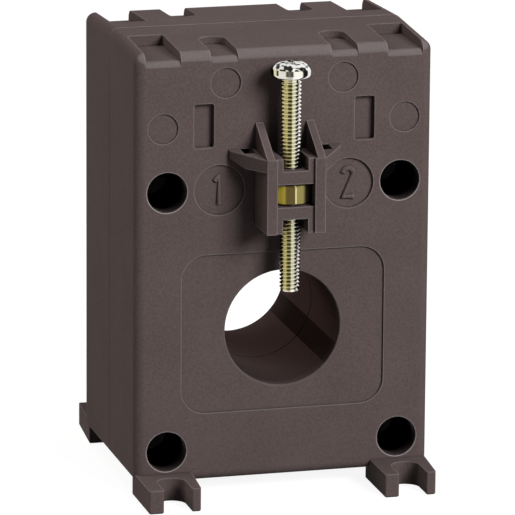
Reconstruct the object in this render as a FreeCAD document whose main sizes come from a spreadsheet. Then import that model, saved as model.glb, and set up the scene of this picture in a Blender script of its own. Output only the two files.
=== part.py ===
import FreeCAD, Part
import os
import re
import Sketcher
from FreeCAD import Rotation, Vector

# Moulded current transformer with a round window. Millimetres, +Z up, front face towards -Y.
# The origin is on the surface the feet stand on, midway between the sides and the two faces.

DIMENSIONS = {
    # Case: two shells that meet on the plane midway between the faces
    "case_width": 44.0,
    "case_depth": 31.5,
    "case_height": 64.2,
    "foot_stand": 2.1,
    "roof_fall": 0.75,
    "edge_round": 1.4,
    "seam_bevel": 0.14,
    "case_wall": 1.8,
    "rebate_width": 0.8,
    "rebate_depth": 1.3,
    "fit_gap": 0.05,
    # Window for the primary conductor
    "window_radius": 8.6,
    "tube_wall": 1.4,
    "rim_bevel": 0.14,
    # Feet with open slots
    "foot_inset": 0.2,
    "foot_width": 8.45,
    "foot_taper": 0.8,
    "foot_reach": 8.0,
    "foot_root": 2.25,
    "foot_thick": 3.5,
    "foot_slot_margin": 4.45,
    "foot_slot_width": 4.1,
    "foot_slot_inset": 2.0,
    "foot_corner_round": 0.3,
    "foot_underside_round": 0.3,
    # Corner wells with the screws that hold the case together
    "well_drop": 21.0,
    "well_radius": 2.9,
    "well_depth": 12.6,
    "boss_wall": 1.2,
    "case_screw_radius": 1.3,
    "case_screw_head": 2.6,
    "case_screw_head_tall": 1.8,
    "case_screw_grip": 8.5,
    "case_screw_play": 0.3,
    "case_screw_spare": 1.0,
    # Shallow marks moulded in the faces
    "panel_width": 30.2,
    "panel_below": 12.05,
    "panel_above": 11.45,
    "panel_round": 3.6,
    "panel_depth": 0.3,
    "disc_across": 19.2,
    "disc_radius": 3.7,
    "disc_depth": 0.45,
    "ejector_radius": 2.2,
    "ejector_depth": 0.25,
    "ejector_inner_across": 17.4,
    "ejector_inner_drop": 5.35,
    "ejector_outer_drop": 11.65,
    "pocket_across": 23.8,
    "pocket_drop": 11.5,
    "pocket_width": 2.95,
    "pocket_tall": 6.4,
    "pocket_round": 0.4,
    "pocket_depth": 1.0,
    # Notches in the top edge of each face
    "outer_notch_margin": 1.5,
    "outer_notch_width": 5.2,
    "outer_notch_length": 11.0,
    "outer_notch_drop": 1.85,
    "inner_notch_across": 17.8,
    "inner_notch_width": 3.95,
    "inner_notch_length": 8.7,
    "inner_notch_drop": 1.5,
    "outer_notch_round": 0.3,
    "rear_notch_extra": 0.37,
    "notch_lip": 0.9,
    "notch_wall": 1.3,
    # Terminal bay in the rear shell
    "bay_width": 29.0,
    "bay_rise": 1.6,
    "bay_drop": 4.1,
    "bay_depth": 11.0,
    "bay_wall": 1.2,
    "bay_floor": 1.5,
    "bay_barrier": 1.6,
    "post_width": 7.0,
    "post_tall": 8.0,
    "post_thick": 3.3,
    "post_pin_radius": 0.7,
    "post_pin_wall": 0.2,
    "post_pin_end": 0.1,
    "washer_width": 8.0,
    "washer_thick": 1.0,
    "washer_round": 0.8,
    "terminal_screw_radius": 2.0,
    "terminal_screw_head": 3.6,
    "terminal_screw_head_tall": 2.4,
    "terminal_screw_end_gap": 0.2,
    "terminal_screw_dome": 0.8,
    # Toroidal core and winding
    "winding_bore_gap": 0.65,
    "winding_side_gap": 1.5,
    "winding_under_gap": 1.7,
    "cap_wall": 0.6,
    "winding_thick": 0.85,
    "winding_bevel": 0.5,
    "winding_open_angle": 20.0,
    "tape_thick": 0.5,
    "tape_inset": 1.85,
    "cushion_thick": 3.0,
    "cushion_inset": 0.55,
    "lead_radius": 0.6,
    "lead_start_across": 8.0,
    "lead_gap": 0.35,
    "lead_bend": 2.0,
    # Bracket with the clamping screw and its nut
    "bracket_width": 8.66,
    "bracket_depth": 6.75,
    "bracket_rise": 15.6,
    "bracket_column": 1.56,
    "bracket_recess": 0.45,
    "screw_channel": 3.7,
    "lower_channel_tall": 2.05,
    "lower_bar_tall": 1.8,
    "nut_room_tall": 3.3,
    "upper_bar_tall": 1.95,
    "fin_height": 4.1,
    "fin_thick": 1.15,
    "wing_reach": 3.9,
    "wing_thick": 1.85,
    "wing_slope": 0.3,
    "wing_tip": 0.7,
    "wing_bevel_wide": 1.6,
    "wing_bevel_tall": 1.0,
    "wing_slot_width": 1.75,
    "wing_slot_length": 2.45,
    "wing_slot_gap": 0.5,
    "tab_width": 3.2,
    "tab_thick": 1.2,
    "tab_reach": 0.9,
    "tab_nose": 0.35,
    "clamp_axis_gap": 3.35,
    "clamp_screw_radius": 1.46,
    "clamp_screw_length": 31.4,
    "clamp_screw_raise": 11.35,
    "clamp_screw_head": 2.87,
    "clamp_screw_head_tall": 2.1,
    "clamp_screw_dome": 0.9,
    "clamp_hole_radius": 1.65,
    "screw_point": 0.4,
    "thread_gap": 0.04,
    "nut_across_flats": 5.42,
    "nut_thick": 2.7,
    "nut_lift": 0.3,
    # Recesses for the screwdriver
    "drive_width": 0.7,
    "drive_length": 3.2,
    "drive_depth": 1.1,
    "terminal_drive_length": 4.4,
}

doc = FreeCAD.newDocument("current_transformer")
sheet = doc.addObject("Spreadsheet::Sheet", "sizes")
for row, (word, size) in enumerate(DIMENSIONS.items(), start=1):
    sheet.set(f"A{row}", str(size))
    sheet.setAlias(f"A{row}", word)
doc.recompute()


def formula(text):
    """A formula on the sheet's words, as an object outside the sheet has to write it."""
    def qualified(word):
        return f"sizes.{word[0]}" if word[0] in DIMENSIONS else word[0]

    return re.sub(r"[a-z][a-z_]+", qualified, text)


def number(text):
    return float(sheet.evalExpression(text))


def bind(thing, sizes):
    for name, text in sizes.items():
        thing.setExpression(name, formula(text))


# Levels, widths and radii that several pieces share
ROOF = "foot_stand + case_height"
HALF_DEPTH = "case_depth / 2"
HALF_WIDTH = "case_width / 2"
CAVITY_TOP = f"{ROOF} - outer_notch_drop - notch_wall"
CAVITY_LOW = "foot_stand + case_wall"
CAVITY_SIDE = f"{HALF_WIDTH} - case_wall"
CAVITY_DEPTH = f"{HALF_DEPTH} - case_wall"
TUBE_RADIUS = "window_radius + tube_wall"

# The wells stand one wall inside the case, the slots of the feet a little further out
FOOT_SLOT_SIDE = f"{HALF_WIDTH} - foot_slot_margin"
WELL_SIDE = f"{CAVITY_SIDE} - well_radius"
WELL_LOW = f"{CAVITY_LOW} + well_radius"
WELL_HIGH = f"{ROOF} - well_drop"
WELL_FLOOR = f"{HALF_DEPTH} - well_depth"
OUTER_NOTCH_SIDE = f"{HALF_WIDTH} - outer_notch_margin - outer_notch_width / 2"

# The core fills the room between the window's tube and the case, less its caps, winding and tape
CORE_SKIN = "fit_gap + cap_wall + fit_gap + winding_thick"
TAPE_OUTER = f"{CAVITY_SIDE} - winding_side_gap"
WINDING_OUTER = f"{TAPE_OUTER} - tape_thick - fit_gap"
WINDING_INNER = f"{TUBE_RADIUS} + winding_bore_gap"
WINDING_HALF = f"{CAVITY_DEPTH} - fit_gap - cushion_thick - fit_gap"
CAP_OUTER = f"{WINDING_OUTER} - winding_thick - fit_gap"
CAP_INNER = f"{WINDING_INNER} + winding_thick + fit_gap"
CAP_HALF = f"{WINDING_HALF} - winding_thick - fit_gap"
CORE_OUTER = f"{WINDING_OUTER} - ({CORE_SKIN})"
CORE_INNER = f"{WINDING_INNER} + {CORE_SKIN}"
CORE_HALF = f"{WINDING_HALF} - ({CORE_SKIN})"
WINDOW_HEIGHT = f"{CAVITY_LOW} + winding_under_gap + {TAPE_OUTER}"

# Terminal bay, with the terminals in the middle of its two rooms
BAY_LEVEL = f"{HALF_DEPTH} - bay_depth"
BAY_LOW = f"{WELL_HIGH} + disc_radius + bay_rise"
BAY_HIGH = f"{ROOF} - bay_drop"
TERMINAL_SIDE = "(bay_barrier + bay_width) / 4"
TERMINAL_HEIGHT = f"({BAY_LOW} + {BAY_HIGH}) / 2"
POST_HOLE = "terminal_screw_radius + thread_gap"
PIN_HEIGHT = f"{TERMINAL_HEIGHT} - ({POST_HOLE}) - post_pin_wall - post_pin_radius"
LEAD_LEVEL = f"{BAY_LEVEL} - bay_floor - lead_gap - lead_radius"

# Bracket, from its foot up, and the axis of the clamping screw
BRACKET_LOW = f"{WINDOW_HEIGHT} + bracket_rise"
LOWER_BAR_LOW = f"{BRACKET_LOW} + lower_channel_tall"
LOWER_BAR_HIGH = f"{LOWER_BAR_LOW} + lower_bar_tall"
UPPER_BAR_LOW = f"{LOWER_BAR_HIGH} + nut_room_tall"
UPPER_BAR_HIGH = f"{UPPER_BAR_LOW} + upper_bar_tall"
BRACKET_HIGH = f"{UPPER_BAR_HIGH} + wing_thick"
CLAMP_LEVEL = f"{HALF_DEPTH} + clamp_axis_gap"
WING_SLOT_NEAR = "bracket_width / 2 + wing_slot_gap"
WING_SLOT_FAR = f"{WING_SLOT_NEAR} + wing_slot_width"


# Sketches
def new_body(name):
    body = doc.addObject("PartDesign::Body", name)
    body.Label = name
    return body


def new_sketch(body, name, role, offset="0"):
    sketch = body.newObject("Sketcher::SketchObject", name)
    plane = [feature for feature in body.Origin.OriginFeatures if feature.Role == role][0]
    sketch.AttachmentSupport = [(plane, "")]
    sketch.MapMode = "FlatFace"
    bind(sketch, {"AttachmentOffset.Base.z": offset})
    return sketch


def hold_point(sketch, line, end, x, y):
    """Holds a point of the sketch at two formulas."""
    for kind, axis, text in (("DistanceX", -2, x), ("DistanceY", -1, y)):
        if text == "0":
            sketch.addConstraint(Sketcher.Constraint("PointOnObject", line, end, axis))
        else:
            index = sketch.addConstraint(Sketcher.Constraint(kind, -1, 1, line, end, number(text)))
            bind(sketch, {f"Constraints[{index}]": text})


def draw_circle(sketch, x, y, radius):
    centre = Vector(number(x), number(y), 0)
    circle = sketch.addGeometry(Part.Circle(centre, Vector(0, 0, 1), number(radius)), False)
    index = sketch.addConstraint(Sketcher.Constraint("Radius", circle, number(radius)))
    bind(sketch, {f"Constraints[{index}]": radius})
    hold_point(sketch, circle, 3, x, y)


def draw_polygon(sketch, corners):
    points = [Vector(number(x), number(y), 0) for x, y in corners]
    lines = [sketch.addGeometry(Part.LineSegment(start, end), False)
             for start, end in zip(points, points[1:] + points[:1])]
    for line, following in zip(lines, lines[1:] + lines[:1]):
        sketch.addConstraint(Sketcher.Constraint("Coincident", line, 2, following, 1))
    for line, (x, y) in zip(lines, corners):
        hold_point(sketch, line, 1, x, y)


def draw_rectangle(sketch, left, low, right, high):
    draw_polygon(sketch, [(left, low), (right, low), (right, high), (left, high)])


def draw_cross(sketch, x, y, length, width):
    """The outline of a cross recess."""
    far, near_by = f"({length}) / 2", f"({width}) / 2"
    turns = [(far, near_by), (near_by, near_by), (near_by, far)]
    corners = turns + [(f"-{a}", b) for a, b in reversed(turns)]
    corners += [(f"-{a}", f"-{b}") for a, b in turns] + [(a, f"-{b}") for a, b in reversed(turns)]
    draw_polygon(sketch, [(f"{x} + {a}", f"{y} + {b}") for a, b in corners])


def both_sides(place):
    """A place and its mirror image on the other side of the middle."""
    return [f"-({place})", f"({place})"]


# Features
def checked(feature, before, cuts):
    """Stops where a feature left the solid as it was, or changed it the wrong way."""
    doc.recompute()
    change = feature.Shape.Volume - before
    if (change < 0) != cuts or abs(change) < 1e-6:
        raise RuntimeError(f"{feature.Label} changed the volume by {change:.4f}")
    return feature


def tip_volume(body):
    return body.Tip.Shape.Volume if body.Tip else 0.0


def extrude(body, name, sketch, length, along_normal=True, cuts=False, both_ways=False):
    """A pad or a pocket, along the sketch's normal or against it."""
    before = tip_volume(body)
    feature = body.newObject("PartDesign::Pocket" if cuts else "PartDesign::Pad", name)
    feature.Profile = sketch
    feature.Reversed = along_normal if cuts else not along_normal
    if both_ways:
        feature.SideType = "Symmetric"
    bind(feature, {"Length": length})
    return checked(feature, before, cuts)


def revolve(body, name, sketch, open_angle="0"):
    feature = body.newObject("PartDesign::Revolution", name)
    feature.Profile = sketch
    feature.ReferenceAxis = (sketch, ["V_Axis"])
    feature.Midplane = True
    bind(feature, {"Angle": f"360 - {open_angle}"})
    return checked(feature, 0.0, False)


def dress(body, name, kind, size, wanted):
    """A fillet or a chamfer on the edges of the solid that the test picks."""
    base = body.Tip
    names = [f"Edge{index}" for index, edge in enumerate(base.Shape.Edges, start=1) if wanted(edge)]
    if not names:
        raise RuntimeError(f"{name} found no edge")
    feature = body.newObject(f"PartDesign::{kind}", name)
    feature.Base = (base, names)
    bind(feature, {"Radius" if kind == "Fillet" else "Size": size})
    doc.recompute()
    return feature


def near(value, text):
    return abs(value - number(text)) < 1e-4


def span(edge, axis):
    """The edge's lowest and highest value along an axis."""
    box = edge.BoundBox
    return {"x": (box.XMin, box.XMax), "y": (box.YMin, box.YMax), "z": (box.ZMin, box.ZMax)}[axis]


def flat_at(edge, axis, text):
    low, high = span(edge, axis)
    return near(low, text) and near(high, text)


def flat_on_sides(edge, axis, text):
    """True where the edge lies in one of two planes, the given distance either side of the middle."""
    return flat_at(edge, axis, text) or flat_at(edge, axis, f"-({text})")


def has_curve(edge, kind):
    return not edge.Degenerated and edge.Curve.TypeId == f"Part::Geom{kind}"


def runs_along(edge, axis):
    """True for a straight edge parallel to the axis."""
    across = [span(edge, other) for other in "xyz" if other != axis]
    return has_curve(edge, "Line") and all(high - low < 1e-4 for low, high in across)


# Case shells
class Shell:
    """One half of the case. Levels are distances from the seam towards its own face."""

    def __init__(self, name, is_front):
        self.body = new_body(name)
        self.is_front = is_front
        self.sign = "-" if is_front else ""

    def sketch(self, name, level="0"):
        return new_sketch(self.body, name, "XZ_Plane", level if self.is_front else f"-({level})")

    def outward(self, name, sketch, length, cuts=False):
        return extrude(self.body, name, sketch, length, self.is_front, cuts)

    def inward(self, name, sketch, length, cuts=True):
        return extrude(self.body, name, sketch, length, not self.is_front, cuts)

    def at(self, level):
        """A level as a coordinate along Y."""
        return f"{self.sign}({level})"


def make_outer_form(shell):
    """A block with a roof that falls from the seam to the face, for the draft of the mould."""
    outline = shell.sketch("outline")
    draw_rectangle(outline, f"-{HALF_WIDTH}", "foot_stand", HALF_WIDTH, ROOF)
    shell.outward("block", outline, HALF_DEPTH)
    fall = new_sketch(shell.body, "roof_slope", "YZ_Plane")
    face = shell.at(HALF_DEPTH)
    draw_polygon(fall, [("0", ROOF), (face, f"{ROOF} - roof_fall"), (face, ROOF)])
    extrude(shell.body, "roof_cut", fall, "2 * case_width", cuts=True, both_ways=True)


def make_notches(shell):
    """Two pairs of notches in the top edge, each with a rounded lip. The inner ones have a round end."""
    round_end = "inner_notch_width / 2 - fit_gap"
    for pair, place, corner in (("outer", OUTER_NOTCH_SIDE, "outer_notch_round"),
                                ("inner", "inner_notch_across / 2", round_end)):
        floor = f"{ROOF} - {pair}_notch_drop"
        if not shell.is_front:
            floor += " - rear_notch_extra"
        back = shell.at(f"{HALF_DEPTH} - {pair}_notch_length")
        sketch = new_sketch(shell.body, f"{pair}_notch_outline", "XY_Plane", floor)
        for x in both_sides(place):
            draw_rectangle(sketch, f"{x} - {pair}_notch_width / 2", shell.at(f"{HALF_DEPTH} + notch_lip"),
                           f"{x} + {pair}_notch_width / 2", back)
        extrude(shell.body, f"{pair}_notches", sketch, f"2 * {pair}_notch_drop", cuts=True)
        dress(shell.body, f"{pair}_notch_rounding", "Fillet", corner,
              lambda edge: runs_along(edge, "z") and flat_at(edge, "y", back))
        dress(shell.body, f"{pair}_notch_lip", "Fillet", "notch_lip",
              lambda edge: flat_at(edge, "z", floor) and flat_at(edge, "y", shell.at(HALF_DEPTH)))


def round_outer_edges(shell):
    def is_outer(edge):
        on_face = flat_at(edge, "y", shell.at(HALF_DEPTH))
        on_low_or_high = flat_at(edge, "z", "foot_stand") or flat_at(edge, "z", f"{ROOF} - roof_fall")
        on_side = flat_on_sides(edge, "x", HALF_WIDTH) and not flat_at(edge, "y", "0")
        return on_side or (on_face and on_low_or_high)

    dress(shell.body, "edge_rounding", "Fillet", "edge_round", is_outer)


def make_feet(shell):
    """Two flat feet, each with a slot that is open towards its tip.

    Each foot narrows along the edge that is on its right, seen from the shell's own face.
    """
    slot_half = "foot_slot_width / 2"
    tip = shell.at(f"{HALF_DEPTH} + foot_reach")
    root = shell.at(f"{HALF_DEPTH} - foot_root")
    slot_end = shell.at(f"{HALF_DEPTH} + foot_slot_inset + {slot_half}")
    for name, side in (("left", "-"), ("right", "")):
        narrows_outside = (side == "") == shell.is_front
        inner_taper, outer_taper = ("0", "foot_taper") if narrows_outside else ("foot_taper", "0")
        outer = f"{HALF_WIDTH} - foot_inset"
        inner = f"{outer} - foot_width"
        near_wall = f"{side}({FOOT_SLOT_SIDE} - {slot_half})"
        far_wall = f"{side}({FOOT_SLOT_SIDE} + {slot_half})"
        outline = new_sketch(shell.body, f"{name}_foot_outline", "XY_Plane")
        draw_polygon(outline, [(f"{side}({inner})", root), (f"{side}({outer})", root),
                               (f"{side}({outer} - {outer_taper})", tip), (far_wall, tip),
                               (far_wall, slot_end), (near_wall, slot_end), (near_wall, tip),
                               (f"{side}({inner} + {inner_taper})", tip)])
        extrude(shell.body, f"{name}_foot", outline, "foot_thick")
        end = new_sketch(shell.body, f"{name}_slot_end", "XY_Plane")
        draw_circle(end, f"{side}({FOOT_SLOT_SIDE})", slot_end, slot_half)
        extrude(shell.body, f"{name}_slot", end, "foot_thick", cuts=True)
    dress(shell.body, "foot_rounding", "Fillet", "foot_corner_round",
          lambda edge: runs_along(edge, "z") and flat_at(edge, "y", tip))
    dress(shell.body, "foot_underside", "Fillet", "foot_underside_round",
          lambda edge: flat_at(edge, "z", "0"))


def make_inside(shell):
    """The hollow, the tube round the window, the screw bosses, and the rebate that lines the shells up."""
    hollow = shell.sketch("hollow_outline")
    draw_rectangle(hollow, f"-({CAVITY_SIDE})", CAVITY_LOW, CAVITY_SIDE, CAVITY_TOP)
    shell.outward("hollow", hollow, CAVITY_DEPTH, True)

    solids = shell.sketch("boss_outline")
    draw_circle(solids, "0", WINDOW_HEIGHT, TUBE_RADIUS)
    for x in both_sides(WELL_SIDE):
        for z in (WELL_LOW, WELL_HIGH):
            draw_circle(solids, x, z, "well_radius + boss_wall")
    shell.outward("bosses", solids, f"{HALF_DEPTH} - case_wall / 2")

    edge = shell.sketch("rebate_outline")
    reach = "rebate_width" if shell.is_front else "(rebate_width - fit_gap)"
    for width in (reach, "0"):
        draw_rectangle(edge, f"-({CAVITY_SIDE} + {width})", f"{CAVITY_LOW} - {width}",
                       f"{CAVITY_SIDE} + {width}", f"{CAVITY_TOP} + {width}")
    if shell.is_front:
        shell.outward("rebate", edge, "rebate_depth", True)
    else:
        shell.inward("tongue", edge, "rebate_depth - fit_gap", False)

    window = shell.sketch("window_outline")
    draw_circle(window, "0", WINDOW_HEIGHT, "window_radius")
    shell.outward("window", window, HALF_DEPTH, True)


def make_screw_wells(shell):
    """Deep wells in the front, and pilot holes behind them in the rear."""
    radius = "case_screw_radius + case_screw_play" if shell.is_front else "case_screw_radius + thread_gap"
    holes = shell.sketch("screw_hole_outline")
    for x in both_sides(WELL_SIDE):
        for z in (WELL_LOW, WELL_HIGH):
            draw_circle(holes, x, z, radius)
    if not shell.is_front:
        shell.outward("screw_pilots", holes, "case_screw_grip + case_screw_spare", True)
        return
    shell.outward("screw_holes", holes, HALF_DEPTH, True)
    wells = shell.sketch("well_outline", HALF_DEPTH)
    for x in both_sides(WELL_SIDE):
        for z in (WELL_LOW, WELL_HIGH):
            draw_circle(wells, x, z, "well_radius")
    shell.inward("wells", wells, "well_depth")


def make_face_marks(shell):
    """The framed panel and the round marks, and on the front the ejector marks and two pockets."""
    panel = shell.sketch("panel_outline", HALF_DEPTH)
    draw_rectangle(panel, "-panel_width / 2", f"{WINDOW_HEIGHT} - panel_below",
                   "panel_width / 2", f"{WINDOW_HEIGHT} + panel_above")
    shell.inward("panel", panel, "panel_depth")
    dress(shell.body, "panel_rounding", "Fillet", "panel_round",
          lambda edge: runs_along(edge, "y") and flat_on_sides(edge, "x", "panel_width / 2"))

    discs = shell.sketch("disc_outline", HALF_DEPTH)
    for x in both_sides("disc_across / 2"):
        draw_circle(discs, x, WELL_HIGH, "disc_radius")
    shell.inward("discs", discs, "disc_depth")
    if not shell.is_front:
        return

    marks = shell.sketch("ejector_outline", HALF_DEPTH)
    for place, drop in (("ejector_inner_across / 2", "ejector_inner_drop"),
                        (OUTER_NOTCH_SIDE, "ejector_outer_drop")):
        for x in both_sides(place):
            draw_circle(marks, x, f"{ROOF} - {drop}", "ejector_radius")
    shell.inward("ejector_marks", marks, "ejector_depth")

    pockets = shell.sketch("pocket_outline", HALF_DEPTH)
    for x in both_sides("pocket_across / 2"):
        draw_rectangle(pockets, f"{x} - pocket_width / 2", f"{ROOF} - pocket_drop - pocket_tall / 2",
                       f"{x} + pocket_width / 2", f"{ROOF} - pocket_drop + pocket_tall / 2")
    shell.inward("pockets", pockets, "pocket_depth")
    pocket_sides = [f"{place} {sign} pocket_width / 2"
                    for place in both_sides("pocket_across / 2") for sign in "+-"]
    dress(shell.body, "pocket_rounding", "Fillet", "pocket_round",
          lambda edge: runs_along(edge, "y") and any(flat_at(edge, "x", side) for side in pocket_sides))


def make_bracket_slots(shell):
    """Two slots in the front wall that the tabs of the bracket snap into, and two behind its wings."""
    slots = shell.sketch("bracket_slot_outline", HALF_DEPTH)
    for middle in (f"{LOWER_BAR_LOW} + lower_bar_tall / 2", f"{UPPER_BAR_LOW} + upper_bar_tall / 2"):
        draw_rectangle(slots, "-(tab_width / 2 + fit_gap)", f"{middle} - tab_thick / 2 - fit_gap",
                       "tab_width / 2 + fit_gap", f"{middle} + tab_thick / 2 + fit_gap")
    for side in ("-", ""):
        draw_rectangle(slots, f"{side}({WING_SLOT_NEAR})", UPPER_BAR_HIGH,
                       f"{side}({WING_SLOT_FAR})", f"{BRACKET_HIGH} + wing_slope")
    shell.inward("bracket_slots", slots, "case_wall + fit_gap")


def make_terminal_bay(shell):
    """A walled bay behind the rear face, split by a barrier, with a hole for each terminal's pin."""
    bay = shell.sketch("bay_outline", f"{BAY_LEVEL} - bay_floor")
    draw_rectangle(bay, "-(bay_width / 2 + bay_wall)", f"{BAY_LOW} - bay_wall", "bay_width / 2 + bay_wall",
                   f"{CAVITY_TOP} + notch_wall / 2")
    shell.outward("bay", bay, "bay_depth + bay_floor - case_wall / 2")
    rooms = shell.sketch("bay_room_outline", HALF_DEPTH)
    draw_rectangle(rooms, "-bay_width / 2", BAY_LOW, "-bay_barrier / 2", BAY_HIGH)
    draw_rectangle(rooms, "bay_barrier / 2", BAY_LOW, "bay_width / 2", BAY_HIGH)
    shell.inward("bay_rooms", rooms, "bay_depth")
    pins = shell.sketch("pin_hole_outline", BAY_LEVEL)
    for side in ("-", ""):
        draw_circle(pins, f"{side}{TERMINAL_SIDE}", PIN_HEIGHT, "post_pin_radius + fit_gap")
    shell.inward("pin_holes", pins, "bay_floor")


def bevel_fine_edges(shell):
    """Fine bevels along the seam, the window's rim and the wells' rims."""
    def on_seam(edge):
        reaches_side = any(near(abs(value), HALF_WIDTH) for value in span(edge, "x"))
        reaches_end = near(span(edge, "z")[0], "foot_stand") or near(span(edge, "z")[1], ROOF)
        return flat_at(edge, "y", "0") and (reaches_side or reaches_end)

    def on_rim(edge):
        if not has_curve(edge, "Circle") or edge.BoundBox.YLength > 1e-4:
            return False
        is_well = near(edge.Curve.Radius, "well_radius") and flat_at(edge, "y", shell.at(HALF_DEPTH))
        return is_well or near(edge.Curve.Radius, "window_radius")

    dress(shell.body, "seam_bevel", "Chamfer", "seam_bevel", on_seam)
    dress(shell.body, "rim_bevel", "Chamfer", "rim_bevel", on_rim)


def make_shell(name, is_front):
    shell = Shell(name, is_front)
    make_outer_form(shell)
    make_notches(shell)
    round_outer_edges(shell)
    make_feet(shell)
    make_inside(shell)
    make_screw_wells(shell)
    make_face_marks(shell)
    if is_front:
        make_bracket_slots(shell)
    else:
        make_terminal_bay(shell)
    bevel_fine_edges(shell)
    return shell.body


# Core, winding and their supports, turned about the window's axis
def make_ring(name, loops, open_angle="0"):
    """A ring turned from closed outlines of (radius, place along Y), open at the top by an angle."""
    body = new_body(name)
    body.Placement.Rotation = Rotation(Vector(0, 1, 0), 90)
    bind(body, {"Placement.Base.z": WINDOW_HEIGHT})
    sketch = new_sketch(body, f"{name}_section", "XY_Plane")
    for loop in loops:
        draw_polygon(sketch, loop)
    revolve(body, f"{name}_ring", sketch, open_angle)
    return body


def ring_loop(inner, outer, low, high):
    return [(inner, low), (outer, low), (outer, high), (inner, high)]


def make_core_cap(name, sign):
    """Half of the core's plastic case, an open channel that is pushed on from one end."""
    rim, back, floor = (f"{sign}({level})" for level in ("fit_gap / 2", CAP_HALF, f"{CAP_HALF} - cap_wall"))
    inner, outer = f"{CORE_INNER} - fit_gap", f"{CORE_OUTER} + fit_gap"
    make_ring(name, [[(CAP_INNER, rim), (CAP_INNER, back), (CAP_OUTER, back), (CAP_OUTER, rim),
                      (outer, rim), (outer, floor), (inner, floor), (inner, rim)]])


def make_winding():
    """The secondary winding: a hollow ring round the capped core that leaves a gap for its leads."""
    hollow_half = f"{CAP_HALF} + fit_gap"
    winding = make_ring("secondary_winding", [
        ring_loop(WINDING_INNER, WINDING_OUTER, f"-({WINDING_HALF})", WINDING_HALF),
        ring_loop(f"{CAP_INNER} - fit_gap", f"{CAP_OUTER} + fit_gap", f"-({hollow_half})", hollow_half)],
        "winding_open_angle")
    dress(winding, "winding_bevel", "Chamfer", "winding_bevel",
          lambda edge: has_curve(edge, "Circle") and flat_on_sides(edge, "y", WINDING_HALF))


def make_core_assembly():
    make_ring("core_strip", [ring_loop(CORE_INNER, CORE_OUTER, f"-({CORE_HALF})", CORE_HALF)])
    make_core_cap("core_cap_front", "-")
    make_core_cap("core_cap_rear", "")
    make_winding()
    tape_half = f"{WINDING_HALF} - tape_inset"
    make_ring("winding_tape",
              [ring_loop(f"{WINDING_OUTER} + fit_gap", TAPE_OUTER, f"-({tape_half})", tape_half)])
    for name, sign in (("front_cushion", "-"), ("rear_cushion", "")):
        inner_end = f"{sign}({WINDING_HALF} + fit_gap)"
        outer_end = f"{sign}({CAVITY_DEPTH} - fit_gap)"
        make_ring(name, [ring_loop(f"{TUBE_RADIUS} + fit_gap", f"{WINDING_OUTER} - cushion_inset",
                                   inner_end, outer_end)])


def rounded_path(corners, bend):
    """Straight runs joined by tangent arcs of one radius."""
    edges = []
    last = corners[0]
    for before, corner, after in zip(corners, corners[1:], corners[2:]):
        arriving = (corner - before).normalize()
        leaving = (after - corner).normalize()
        cosine = arriving.dot(leaving)
        inset = bend * ((1 - cosine) / (1 + cosine)) ** 0.5
        begin = corner - arriving * inset
        end = corner + leaving * inset
        inward = (leaving - arriving).normalize()
        to_centre = (inset ** 2 + bend ** 2) ** 0.5
        middle = corner + inward * (to_centre - bend)
        edges += [Part.LineSegment(last, begin).toShape(), Part.Arc(begin, middle, end).toShape()]
        last = end
    edges.append(Part.LineSegment(last, corners[-1]).toShape())
    return Part.Wire(edges)


def make_lead(name, side):
    """A lead that leaves the winding beside its gap and rises in two bends to the terminal's pin."""
    start = number("lead_start_across / 2")
    end = number(TERMINAL_SIDE)
    level = number(LEAD_LEVEL)
    radius = number("lead_radius")
    gap = number("fit_gap")
    low = number(WINDOW_HEIGHT) + (number(TAPE_OUTER) ** 2 - (start - radius) ** 2) ** 0.5 + gap
    high = number(f"{PIN_HEIGHT} - post_pin_radius - fit_gap")
    rise = (high - low) / 3
    corners = [Vector(side * x, level, z) for x, z in
               ((start, low), (start, low + rise), (end, high - rise), (end, high))]
    path = rounded_path(corners, number("lead_bend"))
    section = Part.Wire(Part.makeCircle(radius, corners[0], Vector(0, 0, 1)))
    lead = doc.addObject("Part::Feature", name)
    lead.Label = name
    lead.Shape = path.makePipeShell([section], True, False)


# Screws
def make_turned_screw(name, radius, length, head, head_tall, dome, drive_length, place, turn=None):
    """A screw with a cross recess and a head domed by two cones. Its shank hangs below the seat at zero."""
    body = new_body(name)
    if turn:
        body.Placement.Rotation = turn
    bind(body, {f"Placement.Base.{axis}": text for axis, text in zip("xyz", place)})
    section = new_sketch(body, f"{name}_section", "XZ_Plane")
    shoulder = f"{dome} * (1 - sqrt(0.5))"
    draw_polygon(section, [("0", f"-({length})"), (f"{radius} - screw_point", f"-({length})"),
                           (radius, f"-({length}) + screw_point"), (radius, "0"), (head, "0"),
                           (head, f"{head_tall} - {dome}"),
                           (f"{head} - {shoulder}", f"{head_tall} - {shoulder}"),
                           (f"{head} - {dome}", head_tall), ("0", head_tall)])
    revolve(body, f"{name}_turning", section)
    recess = new_sketch(body, f"{name}_recess_outline", "XY_Plane", head_tall)
    draw_cross(recess, "0", "0", drive_length, "drive_width")
    extrude(body, f"{name}_recess", recess, "drive_depth", along_normal=False, cuts=True)
    return body


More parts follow.
